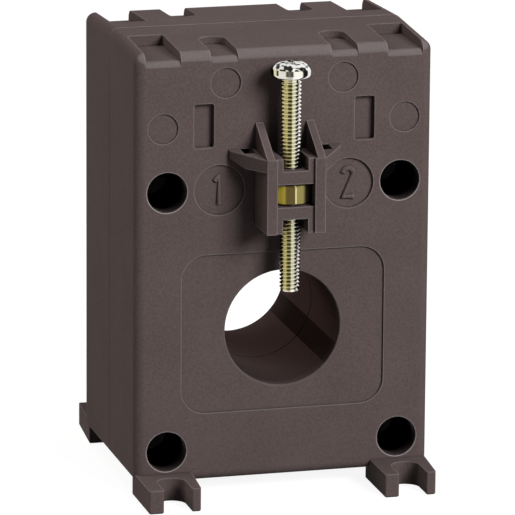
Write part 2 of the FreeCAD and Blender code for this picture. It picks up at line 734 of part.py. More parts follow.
def make_case_screws():
    """Four tapping screws at the bottom of the wells, kept together in one node."""
    screws = []
    for x in both_sides(WELL_SIDE):
        for z in (WELL_LOW, WELL_HIGH):
            index = len(screws) + 1
            head = doc.addObject("Part::Cylinder", f"case_screw_head_{index}")
            shank = doc.addObject("Part::Cylinder", f"case_screw_shank_{index}")
            slot = doc.addObject("Part::Box", f"case_screw_slot_{index}")
            bind(head, {"Radius": "case_screw_head", "Height": "case_screw_head_tall"})
            bind(shank, {"Radius": "case_screw_radius",
                         "Height": f"{WELL_FLOOR} + case_screw_grip + case_screw_head_tall / 2"})
            bind(slot, {"Length": "2 * case_screw_head", "Width": "case_screw_head_tall / 2",
                        "Height": "drive_width"})
            for piece, level in ((head, f"-({WELL_FLOOR})"), (shank, "case_screw_grip")):
                piece.Placement.Rotation = Rotation(Vector(1, 0, 0), 90)
                bind(piece, {"Placement.Base.x": x, "Placement.Base.y": level, "Placement.Base.z": z})
            bind(slot, {"Placement.Base.x": f"{x} - case_screw_head",
                        "Placement.Base.y": f"-({WELL_FLOOR}) - case_screw_head_tall",
                        "Placement.Base.z": f"{z} - drive_width / 2"})
            whole = doc.addObject("Part::Fuse", f"case_screw_blank_{index}")
            whole.Base, whole.Tool = head, shank
            screw = doc.addObject("Part::Cut", f"case_screw_{index}")
            screw.Base, screw.Tool = whole, slot
            screws.append(screw)
    group = doc.addObject("Part::Compound", "housing_screws")
    group.Label = "housing_screws"
    group.Links = screws


# Terminals
def make_terminal(side_name, sign):
    """A brass post with a pin to the winding's lead, a square washer and a screw."""
    x = f"{sign}{TERMINAL_SIDE}"
    post_top = f"{BAY_LEVEL} + post_thick"
    washer_top = f"{post_top} + washer_thick"

    post = new_body(f"terminal_post_{side_name}")
    block = new_sketch(post, "post_outline", "XZ_Plane", f"-({BAY_LEVEL})")
    draw_rectangle(block, f"{x} - post_width / 2", f"{TERMINAL_HEIGHT} - post_tall / 2",
                   f"{x} + post_width / 2", f"{TERMINAL_HEIGHT} + post_tall / 2")
    extrude(post, "post_block", block, "post_thick", along_normal=False)
    hole = new_sketch(post, "post_hole_outline", "XZ_Plane", f"-({BAY_LEVEL})")
    draw_circle(hole, x, TERMINAL_HEIGHT, POST_HOLE)
    extrude(post, "post_hole", hole, "post_thick", along_normal=False, cuts=True)
    pin = new_sketch(post, "pin_outline", "XZ_Plane", f"-({BAY_LEVEL} + post_thick / 2)")
    draw_circle(pin, x, PIN_HEIGHT, "post_pin_radius")
    extrude(post, "pin", pin, "post_thick / 2 + bay_floor + lead_gap + 2 * lead_radius + post_pin_end")

    washer = new_body(f"terminal_washer_{side_name}")
    square = new_sketch(washer, "washer_outline", "XZ_Plane", f"-({post_top})")
    draw_rectangle(square, f"{x} - washer_width / 2", f"{TERMINAL_HEIGHT} - washer_width / 2",
                   f"{x} + washer_width / 2", f"{TERMINAL_HEIGHT} + washer_width / 2")
    draw_circle(square, x, TERMINAL_HEIGHT, "terminal_screw_radius + case_screw_play")
    extrude(washer, "washer_plate", square, "washer_thick", along_normal=False)
    dress(washer, "washer_rounding", "Fillet", "washer_round",
          lambda edge: runs_along(edge, "y") and near(edge.Length, "washer_thick"))

    make_turned_screw(f"terminal_screw_{side_name}", "terminal_screw_radius",
                      "washer_thick + post_thick - terminal_screw_end_gap",
                      "terminal_screw_head", "terminal_screw_head_tall", "terminal_screw_dome",
                      "terminal_drive_length", (x, washer_top, TERMINAL_HEIGHT),
                      Rotation(Vector(1, 0, 0), -90))


# Bracket, nut and clamping screw
def make_bracket():
    """A clip-on moulding on the front face that guides the clamping screw and traps its nut."""
    body = new_body("screw_bracket")
    half = "bracket_width / 2"
    middle_half = f"({half} - bracket_column)"
    front = f"{HALF_DEPTH} + bracket_depth"
    middle_front = f"{front} - bracket_recess"
    wing_end = f"({half} + wing_reach)"
    height = f"{BRACKET_HIGH} - ({BRACKET_LOW})"

    block = new_sketch(body, "block_outline", "XZ_Plane", HALF_DEPTH)
    draw_rectangle(block, f"-{half}", BRACKET_LOW, half, BRACKET_HIGH)
    extrude(body, "block", block, "bracket_depth")

    wings = new_sketch(body, "wing_outline", "XY_Plane", UPPER_BAR_HIGH)
    for side in ("-", ""):
        draw_polygon(wings, [(f"{side}{half}", f"-({HALF_DEPTH})"),
                             (f"{side}{wing_end}", f"-({HALF_DEPTH})"),
                             (f"{side}{wing_end}", f"-({HALF_DEPTH} + wing_tip)"),
                             (f"{side}{half}", f"-({front})")])
    extrude(body, "wings", wings, "wing_thick + wing_slope")
    slope = new_sketch(body, "wing_slope_outline", "YZ_Plane")
    draw_polygon(slope, [(f"-({front})", BRACKET_HIGH), (f"-({HALF_DEPTH})", f"{BRACKET_HIGH} + wing_slope"),
                         (f"-({front})", f"{BRACKET_HIGH} + wing_slope")])
    extrude(body, "wing_slope_cut", slope, f"2 * {wing_end}", cuts=True, both_ways=True)

    bevels = new_sketch(body, "wing_bevel_outline", "XZ_Plane", HALF_DEPTH)
    for side in ("-", ""):
        draw_polygon(bevels, [(f"{side}{wing_end}", UPPER_BAR_HIGH),
                              (f"{side}{wing_end}", f"{UPPER_BAR_HIGH} + wing_bevel_tall"),
                              (f"{side}({wing_end} - wing_bevel_wide)", UPPER_BAR_HIGH)])
    extrude(body, "wing_bevels", bevels, "bracket_depth", cuts=True)

    slots = new_sketch(body, "wing_slot_outline", "XY_Plane", UPPER_BAR_HIGH)
    for side in ("-", ""):
        draw_rectangle(slots, f"{side}({WING_SLOT_NEAR})", f"-({HALF_DEPTH} + wing_slot_length)",
                       f"{side}({WING_SLOT_FAR})", f"-({HALF_DEPTH})")
    extrude(body, "wing_slots", slots, "wing_thick + wing_slope", cuts=True)

    for name, side in (("left_fin", "-"), ("right_fin", "")):
        inner = f"{side}({half} - fin_thick)"
        fin = new_sketch(body, f"{name}_outline", "YZ_Plane", inner)
        draw_polygon(fin, [(f"-({front})", UPPER_BAR_HIGH), (f"-({HALF_DEPTH})", UPPER_BAR_HIGH),
                           (f"-({HALF_DEPTH})", f"{BRACKET_HIGH} + fin_height"),
                           (f"-({front})", BRACKET_HIGH)])
        extrude(body, name, fin, "fin_thick", along_normal=side == "")

    recess = new_sketch(body, "recess_outline", "XZ_Plane", front)
    draw_rectangle(recess, f"-{middle_half}", BRACKET_LOW, middle_half, BRACKET_HIGH)
    extrude(body, "recess", recess, "bracket_recess", along_normal=False, cuts=True)

    channel = new_sketch(body, "channel_outline", "XZ_Plane", middle_front)
    draw_rectangle(channel, "-screw_channel / 2", BRACKET_LOW, "screw_channel / 2", LOWER_BAR_LOW)
    draw_rectangle(channel, "-screw_channel / 2", UPPER_BAR_HIGH, "screw_channel / 2", BRACKET_HIGH)
    draw_rectangle(channel, f"-{middle_half}", LOWER_BAR_HIGH, middle_half, UPPER_BAR_LOW)
    extrude(body, "channel", channel, "bracket_depth - bracket_recess", along_normal=False, cuts=True)

    hole = new_sketch(body, "hole_outline", "XY_Plane", BRACKET_LOW)
    draw_circle(hole, "0", f"-({CLAMP_LEVEL})", "clamp_hole_radius")
    extrude(body, "hole", hole, height, cuts=True)

    catch = f"{CAVITY_DEPTH} - fit_gap"
    tip = f"{catch} - tab_reach"
    for bar, bar_low in (("lower", LOWER_BAR_LOW), ("upper", UPPER_BAR_LOW)):
        low = f"{bar_low} + ({bar}_bar_tall - tab_thick) / 2"
        high = f"{low} + tab_thick"
        tab = new_sketch(body, f"{bar}_tab_outline", "YZ_Plane")
        root = f"-({HALF_DEPTH} + bracket_recess)"
        draw_polygon(tab, [(root, low), (f"-({tip})", low), (f"-({tip})", high),
                           (f"-({catch})", f"{high} + tab_nose"), (f"-({catch})", high), (root, high)])
        extrude(body, f"{bar}_tab", tab, "tab_width", both_ways=True)


def make_clamp_nut():
    """A hexagon nut, its flats against the sides of the bracket and its bore round the clamping screw."""
    body = new_body("clamp_nut")
    bind(body, {"Placement.Base.y": f"-({CLAMP_LEVEL})", "Placement.Base.z": f"{LOWER_BAR_HIGH} + nut_lift"})
    outline = new_sketch(body, "nut_outline", "XY_Plane")
    flat = "nut_across_flats / 2"
    corner = "nut_across_flats / sqrt(3)"
    low_corner = f"{corner} / 2"
    draw_polygon(outline, [("0", f"-{corner}"), (flat, f"-{low_corner}"), (flat, low_corner),
                           ("0", corner), (f"-{flat}", low_corner), (f"-{flat}", f"-{low_corner}")])
    draw_circle(outline, "0", "0", "clamp_screw_radius + thread_gap")
    extrude(body, "nut_block", outline, "nut_thick")


def make_clamp_screw():
    make_turned_screw("clamp_screw", "clamp_screw_radius", "clamp_screw_length", "clamp_screw_head",
                      "clamp_screw_head_tall", "clamp_screw_dome", "drive_length",
                      ("0", f"-({CLAMP_LEVEL})", f"{BRACKET_HIGH} + clamp_screw_raise"))


make_shell("front_shell", True)
make_shell("rear_shell", False)
make_case_screws()
make_core_assembly()
for lead_name, lead_side in (("lead_start", -1), ("lead_end", 1)):
    make_lead(lead_name, lead_side)
for terminal_name, terminal_sign in (("left", "-"), ("right", "")):
    make_terminal(terminal_name, terminal_sign)
make_bracket()
make_clamp_nut()
make_clamp_screw()
doc.recompute()

SUBPARTS = [thing for thing in doc.Objects
            if thing.TypeId in ("PartDesign::Body", "Part::Feature") or thing.Label == "housing_screws"]
broken = [thing.Label for thing in doc.Objects if {"Invalid", "Error"} & set(thing.State)]
broken += [thing.Label for thing in SUBPARTS if thing.Shape.isNull() or not thing.Shape.isValid()]
if broken:
    raise RuntimeError(f"failed: {broken}")

os.makedirs("parts", exist_ok=True)
for thing in SUBPARTS:
    thing.Shape.exportStep(f"parts/{thing.Label}.step")
    print(f"{thing.Label}: {len(thing.Shape.Solids)} solids, {thing.Shape.Volume:.1f} mm3")
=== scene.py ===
from math import atan2, cos, pi, radians, sin

import bmesh
import bpy
from mathutils import Matrix, Vector


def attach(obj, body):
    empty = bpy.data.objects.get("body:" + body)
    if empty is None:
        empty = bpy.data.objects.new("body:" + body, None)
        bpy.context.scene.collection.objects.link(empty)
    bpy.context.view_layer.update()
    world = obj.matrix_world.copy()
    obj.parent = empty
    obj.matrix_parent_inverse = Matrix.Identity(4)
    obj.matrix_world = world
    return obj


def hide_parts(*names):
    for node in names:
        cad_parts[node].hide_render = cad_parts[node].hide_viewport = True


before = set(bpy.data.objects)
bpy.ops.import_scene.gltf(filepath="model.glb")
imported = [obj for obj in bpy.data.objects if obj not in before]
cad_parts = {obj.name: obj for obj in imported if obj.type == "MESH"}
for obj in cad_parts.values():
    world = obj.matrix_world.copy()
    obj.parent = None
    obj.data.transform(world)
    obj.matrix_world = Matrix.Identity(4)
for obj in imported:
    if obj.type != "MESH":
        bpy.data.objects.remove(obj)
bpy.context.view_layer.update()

# The case is two moulded shells of dark warm brown-grey thermoplastic that meet on a seam midway between
# the faces. The mould's spark-eroded skin gives a fine matt grain. Edges that stand out get a painted
# highlight, and inner corners get painted shade.
MM = 0.001
CASE_COLOUR = (0.092, 0.069, 0.067, 1.0)
CASE_SHADE = (0.085, 0.064, 0.062, 1.0)
CASE_GLOSS = 0.01
CASE_ROUGHNESS = 0.6
CASE_GRAIN = 0.22 * MM
CASE_GRAIN_HEIGHT = 0.012 * MM
GRAIN_DETAIL = 3.0
CASE_EDGE_RADIUS = 0.14 * MM
CLOUD_SIZE = 9.0 * MM
MOTTLE_SIZE = 0.32 * MM
MOTTLE_LEAST, MOTTLE_SPAN = 0.7, 0.6
# Edges and corners within this reach get a painted highlight and painted shade
EDGE_REACH = 0.22 * MM
EDGE_HIGHLIGHT = 0.7
HIGHLIGHT_COLOUR = (0.27, 0.25, 0.25, 1.0)
EDGE_SAMPLES = 6
CORNER_DARK = 0.8
FACE = -15.75 * MM
# Wells and window, whose walls get painted shade behind the face: where they are, how deep the painted shade
# takes to reach full strength, how bright the wall is painted at the face and beyond that depth, and how
# strong the painted highlight on the rim is
WELL_SIDE = 17.3 * MM
WELL_MIDDLE = 26.05 * MM
WELL_RISE = 19.25 * MM
WELL_REACH = 2.96 * MM
WELL_FADE = 2.8 * MM
WELL_SHOWN = (0.55, 0.0)
WELL_RIM_HIGHLIGHT = 0.75
WINDOW_HEIGHT = 24.3 * MM
WINDOW_REACH = 8.66 * MM
WINDOW_FADE = 2.5 * MM
WINDOW_SHOWN = (1.0, 0.4)
WINDOW_RIM_HIGHLIGHT = 0.6
WINDOW_LIP = 1.5 * MM
WINDOW_SHEEN = (0.036, 0.021, 0.019)
WINDOW_SHEEN_ROUGHNESS = 0.4
# Painted shade in a band across the window's sheen: its direction, half width, and strength (also the seam's)
WINDOW_BAND, WINDOW_BAND_HALF = radians(-31), radians(11)
WINDOW_SHADE_AND_SEAM_DARK = 0.7
RIM_HALF = 0.06 * MM
RIM_DEEP = 0.25 * MM
# The bevels at the top edge and at the notches' lips, which get a painted highlight, lie where height less
# depth reaches these values
TOP_EDGE = 79.95 * MM
TOP_EDGE_WIDTH = 0.25 * MM
BEVEL_HIGHLIGHT = 0.2
LIP_REACH = 14.85 * MM
LIP_WIDTH = 0.12 * MM
LIP_ABOVE = 0.03 * MM
# Each pair of notches: how far from the middle, half as wide, and the height of the floor
NOTCHES = ((17.9 * MM, 2.55 * MM, 64.45 * MM), (8.9 * MM, 1.9 * MM, 64.8 * MM))
# A painted highlight runs along the seam on the roof
ROOF_LOW = 60.0 * MM
SEAM_HALF = 0.12 * MM
SEAM_HIGHLIGHT = 0.4


def feed(tree, value, socket):
    """Puts another socket or a plain value into a socket."""
    if isinstance(value, bpy.types.NodeSocket):
        tree.links.new(value, socket)
    else:
        socket.default_value = value


def new_material(name, colour, roughness, metallic=0.0, centre=(0, 0, 0)):
    """A material with its node tree and its shader. Its patterns are counted from a centre in the frame."""
    material = bpy.data.materials.new(name)
    material.use_nodes = True
    tree = material.node_tree
    shader = tree.nodes["Principled BSDF"]
    shader.inputs["Base Color"].default_value = colour
    shader.inputs["Roughness"].default_value = roughness
    shader.inputs["Metallic"].default_value = metallic
    place = tree.nodes.new("ShaderNodeTexCoord")
    from_centre = tree.nodes.new("ShaderNodeMapping")
    from_centre.name = "From Centre"
    from_centre.inputs["Location"].default_value = -Vector(centre)
    tree.links.new(place.outputs["Object"], from_centre.inputs["Vector"])
    return material, tree, shader


def calculate(tree, operation, *values, clamp=False):
    """A maths node on sockets and plain numbers."""
    node = tree.nodes.new("ShaderNodeMath")
    node.operation = operation
    node.use_clamp = clamp
    for value, socket in zip(values, node.inputs):
        feed(tree, value, socket)
    return node.outputs["Value"]


def chain(tree, operation, first, *others):
    """The same maths over all the values, one after the other."""
    for other in others:
        first = calculate(tree, operation, first, other)
    return first


def distance_from_axis(tree, across, rise):
    """The distance from an axis, from the two offsets to it."""
    squares = calculate(tree, "MULTIPLY_ADD", across, across, calculate(tree, "MULTIPLY", rise, rise))
    return calculate(tree, "POWER", squares, 0.5)


def pattern_place(tree):
    """The place on the piece, from the centre of the material's patterns."""
    return tree.nodes["From Centre"].outputs["Vector"]


def object_axes(tree):
    """The place on the piece as three sockets, X, Y and Z."""
    split = tree.nodes.new("ShaderNodeSeparateXYZ")
    tree.links.new(pattern_place(tree), split.inputs["Vector"])
    return split.outputs


def noise(tree, size, detail=2.0):
    """Noise whose features are about the given size, in metres."""
    texture = tree.nodes.new("ShaderNodeTexNoise")
    texture.inputs["Scale"].default_value = 1.0 / size
    texture.inputs["Detail"].default_value = detail
    tree.links.new(pattern_place(tree), texture.inputs["Vector"])
    return texture.outputs["Fac"]


def blend_colours(tree, factor, low, high, start=0.35, end=0.65):
    """A colour that runs from low to high as the factor goes from start to end."""
    ramp = tree.nodes.new("ShaderNodeValToRGB")
    ramp.color_ramp.elements[0].position = start
    ramp.color_ramp.elements[0].color = low
    ramp.color_ramp.elements[1].position = end
    ramp.color_ramp.elements[1].color = high
    tree.links.new(factor, ramp.inputs["Fac"])
    return ramp.outputs["Color"]


def scale_colour(tree, shader, factor):
    """Multiplies the colour that the shader gets by a factor."""
    scale = tree.nodes.new("ShaderNodeVectorMath")
    scale.operation = "SCALE"
    tree.links.new(shader.inputs["Base Color"].links[0].from_socket, scale.inputs[0])
    tree.links.new(factor, scale.inputs["Scale"])
    tree.links.new(scale.outputs["Vector"], shader.inputs["Base Color"])


def add_bump(tree, shader, height, distance, edge_radius=None):
    """Bump on the shader, over edges that are softened by a small radius where one is given."""
    bump = tree.nodes.new("ShaderNodeBump")
    bump.inputs["Distance"].default_value = distance
    tree.links.new(height, bump.inputs["Height"])
    if edge_radius:
        edge = tree.nodes.new("ShaderNodeBevel")
        edge.samples = EDGE_SAMPLES
        edge.inputs["Radius"].default_value = edge_radius
        tree.links.new(edge.outputs["Normal"], bump.inputs["Normal"])
    tree.links.new(bump.outputs["Normal"], shader.inputs["Normal"])


def paint(tree, shader, share, colour, blend="MIX"):
    """Paints a share of a colour over the colour that the shader gets."""
    coat = tree.nodes.new("ShaderNodeMix")
    coat.data_type = "RGBA"
    coat.blend_type = blend
    # Several sockets of this node share a name, so its colour sockets go by number
    under, over, painted = coat.inputs[6], coat.inputs[7], coat.outputs[2]
    tree.links.new(share, coat.inputs["Factor"])
    tree.links.new(shader.inputs["Base Color"].links[0].from_socket, under)
    feed(tree, colour, over)
    tree.links.new(painted, shader.inputs["Base Color"])


def shade_edges(tree, shader, reach, light, dark):
    """Paints a highlight on the edges that stand out and paints shade into the corners that lie in."""
    near = []
    for inside in (True, False):
        corner = tree.nodes.new("ShaderNodeAmbientOcclusion")
        corner.inside = inside
        corner.only_local = inside
        corner.samples = EDGE_SAMPLES
        corner.inputs["Distance"].default_value = reach
        near.append(calculate(tree, "SUBTRACT", 1.0, corner.outputs["AO"]))
    paint(tree, shader, calculate(tree, "MULTIPLY", near[0], light, clamp=True), HIGHLIGHT_COLOUR)
    scale_colour(tree, shader, calculate(tree, "MULTIPLY_ADD", near[1], -dark, 1.0))


def moulded_plastic(name, colour, shade, roughness, grain, grain_height, edge_radius=None,
                    edge_highlight=EDGE_HIGHLIGHT):
    """A matt plastic, cloudy and finely grained. With an edge radius it is mottled too, with a painted
    highlight on its edges and painted shade in its corners.
    """
    material, tree, shader = new_material(name, colour, roughness)
    shader.inputs["Specular IOR Level"].default_value = CASE_GLOSS
    tree.links.new(blend_colours(tree, noise(tree, CLOUD_SIZE), shade, colour), shader.inputs["Base Color"])
    add_bump(tree, shader, noise(tree, grain, GRAIN_DETAIL), grain_height, edge_radius)
    if edge_radius:
        mottle = noise(tree, MOTTLE_SIZE)
        scale_colour(tree, shader, calculate(tree, "MULTIPLY_ADD", mottle, MOTTLE_SPAN, MOTTLE_LEAST))
        # Painted highlights on the edges that stand out and painted shade in the corners that lie in
        shade_edges(tree, shader, EDGE_REACH, edge_highlight, CORNER_DARK)
    return material


def ramp_between(tree, value, start, end, low=0.0, high=1.0):
    """Runs from low to high as the value goes from start to end."""
    span = tree.nodes.new("ShaderNodeMapRange")
    span.inputs["From Min"].default_value = start
    span.inputs["From Max"].default_value = end
    span.inputs["To Min"].default_value = low
    span.inputs["To Max"].default_value = high
    tree.links.new(value, span.inputs["Value"])
    return span.outputs["Result"]


def find_hole(tree, across, rise, depth, reach, fade, shown, rim_highlight):
    """Where the wall of a round hole in the face is, how bright it shows under painted shade, and how strong
    the painted highlight on its rim is.
    """
    distance = distance_from_axis(tree, across, rise)
    inside = calculate(tree, "LESS_THAN", distance, reach)
    dark = ramp_between(tree, depth, 0.0, fade, 1.0 - shown[0], 1.0 - shown[1])
    rim = calculate(tree, "COMPARE", distance, reach + RIM_HALF, RIM_HALF)
    at_face = calculate(tree, "LESS_THAN", depth, RIM_DEEP)
    brightness = calculate(tree, "SUBTRACT", 1.0, chain(tree, "MULTIPLY", inside, dark))
    return inside, brightness, chain(tree, "MULTIPLY", rim, at_face, rim_highlight)


def finish_case(material):
    """Paints shade into the deep wells and the window behind the face, and a highlight on the rims, the seam,
    the top edge and the notches' lips.
    """
    tree = material.node_tree
    shader = tree.nodes["Principled BSDF"]
    x, y, z = object_axes(tree)
    depth = calculate(tree, "SUBTRACT", y, FACE)
    from_middle = calculate(tree, "ABSOLUTE", x)
    forward_and_up = calculate(tree, "SUBTRACT", z, y)
    seam = calculate(tree, "COMPARE", y, 0.0, SEAM_HALF)
    on_roof = calculate(tree, "GREATER_THAN", z, ROOF_LOW)
    highlights = [ramp_between(tree, forward_and_up, TOP_EDGE, TOP_EDGE + TOP_EDGE_WIDTH, 0.0, BEVEL_HIGHLIGHT),
            chain(tree, "MULTIPLY", seam, on_roof, SEAM_HIGHLIGHT)]
    for middle, half, floor in NOTCHES:
        edge = floor + LIP_REACH
        lip = ramp_between(tree, forward_and_up, edge, edge + LIP_WIDTH, 0.0, BEVEL_HIGHLIGHT)
        between = calculate(tree, "COMPARE", from_middle, middle, half)
        low = calculate(tree, "LESS_THAN", z, floor + LIP_ABOVE)
        highlights.append(chain(tree, "MULTIPLY", lip, between, low))

    well_across = calculate(tree, "SUBTRACT", from_middle, WELL_SIDE)
    from_well_middle = calculate(tree, "ABSOLUTE", calculate(tree, "SUBTRACT", z, WELL_MIDDLE))
    well_rise = calculate(tree, "SUBTRACT", from_well_middle, WELL_RISE)
    window_rise = calculate(tree, "SUBTRACT", z, WINDOW_HEIGHT)
    _, wells, well_rims = find_hole(tree, well_across, well_rise, depth,
                                    WELL_REACH, WELL_FADE, WELL_SHOWN, WELL_RIM_HIGHLIGHT)
    inside, window, window_rim = find_hole(tree, x, window_rise, depth,
                                           WINDOW_REACH, WINDOW_FADE, WINDOW_SHOWN, WINDOW_RIM_HIGHLIGHT)
    # Painted highlights on the top edge, the seam on the roof, the notches' lips and the rims of the holes
    paint(tree, shader, chain(tree, "MAXIMUM", *highlights, well_rims, window_rim), HIGHLIGHT_COLOUR)
    # Painted shade darkens the walls of the wells and the window
    shown = calculate(tree, "MULTIPLY", wells, window)
    scale_colour(tree, shader, shown)

    # The window's wall is seen at a low angle, so it has a brown sheen. A band of painted shade dims the
    # sheen, and the dark seam darkens both the wall and the sheen
    in_window = calculate(tree, "MULTIPLY", inside, ramp_between(tree, depth, 0.0, WINDOW_LIP))
    dark_seam = calculate(tree, "MULTIPLY", in_window, seam)
    scale_colour(tree, shader, calculate(tree, "MULTIPLY_ADD", dark_seam, -WINDOW_SHADE_AND_SEAM_DARK, 1.0))
    # The gloss fades with the painted shade, and is off on the window's wall
    tree.links.new(calculate(tree, "MULTIPLY", calculate(tree, "SUBTRACT", shown, in_window), CASE_GLOSS),
                   shader.inputs["Specular IOR Level"])
    # A band of painted shade across the sheen, and the dark seam
    direction = calculate(tree, "ARCTAN2", window_rise, x)
    band = calculate(tree, "COMPARE", direction, WINDOW_BAND, WINDOW_BAND_HALF)
    light = calculate(tree, "MULTIPLY_ADD", calculate(tree, "MAXIMUM", band, seam), -WINDOW_SHADE_AND_SEAM_DARK, 1.0)
    tinted = tree.nodes.new("ShaderNodeVectorMath")
    tinted.operation = "SCALE"
    tinted.inputs[0].default_value = WINDOW_SHEEN
    tree.links.new(calculate(tree, "MULTIPLY", in_window, light), tinted.inputs["Scale"])
    sheen = tree.nodes.new("ShaderNodeBsdfGlossy")
    sheen.inputs["Roughness"].default_value = WINDOW_SHEEN_ROUGHNESS
    tree.links.new(tinted.outputs["Vector"], sheen.inputs["Color"])
    both = tree.nodes.new("ShaderNodeAddShader")
    tree.links.new(shader.outputs["BSDF"], both.inputs[0])
    tree.links.new(sheen.outputs["BSDF"], both.inputs[1])
    tree.links.new(both.outputs["Shader"], tree.nodes["Material Output"].inputs["Surface"])


def dress(nodes, material):
    """Gives CAD nodes a material in place of the one that they came with."""
    for name in nodes:
        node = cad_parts[name]
        node.data.materials.clear()
        node.data.materials.append(material)


case_plastic = moulded_plastic("case_plastic", CASE_COLOUR, CASE_SHADE, CASE_ROUGHNESS,
                               CASE_GRAIN, CASE_GRAIN_HEIGHT, CASE_EDGE_RADIUS)
finish_case(case_plastic)
dress(["front_shell", "rear_shell"], case_plastic)
# The metal in front of the matt case mirrors the room and not the case
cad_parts["front_shell"].visible_glossy = False

# The two round recesses on the front carry a plain raised figure each, moulded with the shell
# in broad rounded strokes. They stand up from the recess's floor to just under the face.
RECESS_FLOOR = -15.3 * MM
RECESS_HEIGHT = 45.3 * MM
RECESS_SIDE = 9.6 * MM
STROKE_RADIUS = 0.42 * MM
STROKE_FACETS = 4
FIGURE_HALF = 2.1 * MM
ARC_RADIUS = 0.8 * MM
ARC_STEPS = 14
ARC_START, ARC_END = radians(165), radians(-35)


def ride(piece, body, material):
    """Joins a new piece to its body, with its material."""
    piece.data.materials.clear()
    piece.data.materials.append(material)
    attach(piece, body)


arc_middle = FIGURE_HALF - ARC_RADIUS
arc_turns = [ARC_START + (ARC_END - ARC_START) * step / ARC_STEPS for step in range(ARC_STEPS + 1)]
figure_one = [(-0.75 * ARC_RADIUS, arc_middle), (0, FIGURE_HALF), (0, -FIGURE_HALF)]
figure_two = [(ARC_RADIUS * cos(turn), arc_middle + ARC_RADIUS * sin(turn)) for turn in arc_turns]
figure_two += [(-ARC_RADIUS, -FIGURE_HALF), (1.05 * ARC_RADIUS, -FIGURE_HALF)]
for name, across, strokes in (("figure_one", -RECESS_SIDE, figure_one),
                              ("figure_two", RECESS_SIDE, figure_two)):
    curve = bpy.data.curves.new(name, "CURVE")
    curve.dimensions = "3D"
    curve.bevel_depth = STROKE_RADIUS
    curve.bevel_resolution = STROKE_FACETS
    curve.use_fill_caps = True
    line = curve.splines.new("POLY")
    line.points.add(len(strokes) - 1)
    for point, (side, rise) in zip(line.points, strokes):
        point.co = (side, 0, rise, 1)
    drawn = bpy.data.objects.new(f"{name}_line", curve)
    solid = bpy.data.meshes.new_from_object(drawn)
    bpy.data.curves.remove(curve)
    solid.transform(Matrix.Translation((across, RECESS_FLOOR, RECESS_HEIGHT)))
    figure = bpy.data.objects.new(name, solid)
    bpy.context.collection.objects.link(figure)
    ride(figure, "case", case_plastic)

# The clip-on bracket is moulded from the same plastic in another tool, a little smoother. It snaps onto
# the front face. Its edges are sharp, so they get a painted highlight for the thin line of light that they
# catch, and its inner corners get painted shade.
BRACKET_ROUGHNESS = 0.5
BRACKET_GRAIN_HEIGHT = 0.006 * MM
BRACKET_EDGE_RADIUS = 0.1 * MM
BRACKET_EDGE_HIGHLIGHT = 0.75

bracket_plastic = moulded_plastic("bracket_plastic", CASE_COLOUR, CASE_SHADE, BRACKET_ROUGHNESS,
                                  CASE_GRAIN, BRACKET_GRAIN_HEIGHT, BRACKET_EDGE_RADIUS, BRACKET_EDGE_HIGHLIGHT)
dress(["screw_bracket"], bracket_plastic)

# The nut is a hexagon bar nut of brass, chamfered at both ends, with a dull yellow passivation.
# Its flats lie against the bracket's columns, so one corner points to the front.
CLAMP_AXIS = Vector((0, -19.1 * MM, 0))
NUT_FLATS = 5.42 * MM
NUT_LOW = 44.05 * MM
NUT_TALL = 2.7 * MM
NUT_BORE = 1.5 * MM
NUT_RIM = 0.97 * NUT_FLATS / 2
NUT_STEPS = 72
NUT_CREASE = 18
NUT_COLOUR = (0.6, 0.5, 0.15, 1)
NUT_ROUGHNESS = 0.35
NUT_METALLIC = 0.5
NUT_GRAIN = 0.12 * MM
NUT_GRAIN_HEIGHT = 0.002 * MM
SCRATCH_DETAIL = 4.0
# Painted reflections, a painted highlight on the front corner and painted shadow from the right column lie
# across the flats: places as a share of the half width, each with its colour
GOLD, BROWN, PALE = (0.57, 0.45, 0.06), (0.15, 0.105, 0.028), (1.0, 0.95, 0.5)
OLIVE, DARK = (0.41, 0.35, 0.115), (0.02, 0.015, 0.01)
NUT_PAINTED_REFLECTIONS = [(-1.0, GOLD), (-0.56, GOLD), (-0.45, BROWN), (-0.06, BROWN), (-0.03, PALE), (0.02, PALE),
              (0.05, OLIVE), (0.44, OLIVE), (0.62, DARK), (1.0, DARK)]


def stripes(tree, across, bands):
    """Colours in bands, each from its place: -1 at one side of the piece, 1 at the other."""
    ramp = tree.nodes.new("ShaderNodeValToRGB")
    ramp.color_ramp.elements[0].color = (*bands[0][1], 1)
    ramp.color_ramp.elements[1].color = (*bands[-1][1], 1)
    for place, colour in bands[1:-1]:
        ramp.color_ramp.elements.new(0.5 + 0.5 * place).color = (*colour, 1)
    tree.links.new(across, ramp.inputs["Fac"])
    return ramp.outputs["Color"]


def new_piece(name, mesh, place=(0, 0, 0)):
    """An object from a bmesh that is moved to its place, with its normals made to point outwards."""
    bmesh.ops.translate(mesh, verts=mesh.verts, vec=place)
    bmesh.ops.recalc_face_normals(mesh, faces=mesh.faces)
    data = bpy.data.meshes.new(name)
    mesh.to_mesh(data)
    mesh.free()
    piece = bpy.data.objects.new(name, data)
    bpy.context.collection.objects.link(piece)
    return piece


def turn_outline(mesh, points, edges, steps):
    """Turns an outline once about the Z axis."""
    bmesh.ops.spin(mesh, geom=points + edges, cent=(0, 0, 0), axis=(0, 0, 1), dvec=(0, 0, 0), angle=2 * pi,
                   steps=steps, use_merge=True, use_duplicate=False)


def smooth_by_angle(piece, degrees):
    """Smooth shading with hard edges where two faces meet at more than the angle."""
    mesh = bmesh.new()
    mesh.from_mesh(piece.data)
    for face in mesh.faces:
        face.smooth = True
    for edge in mesh.edges:
        edge.smooth = len(edge.link_faces) == 2 and edge.calc_face_angle() < radians(degrees)
    mesh.to_mesh(piece.data)
    mesh.free()


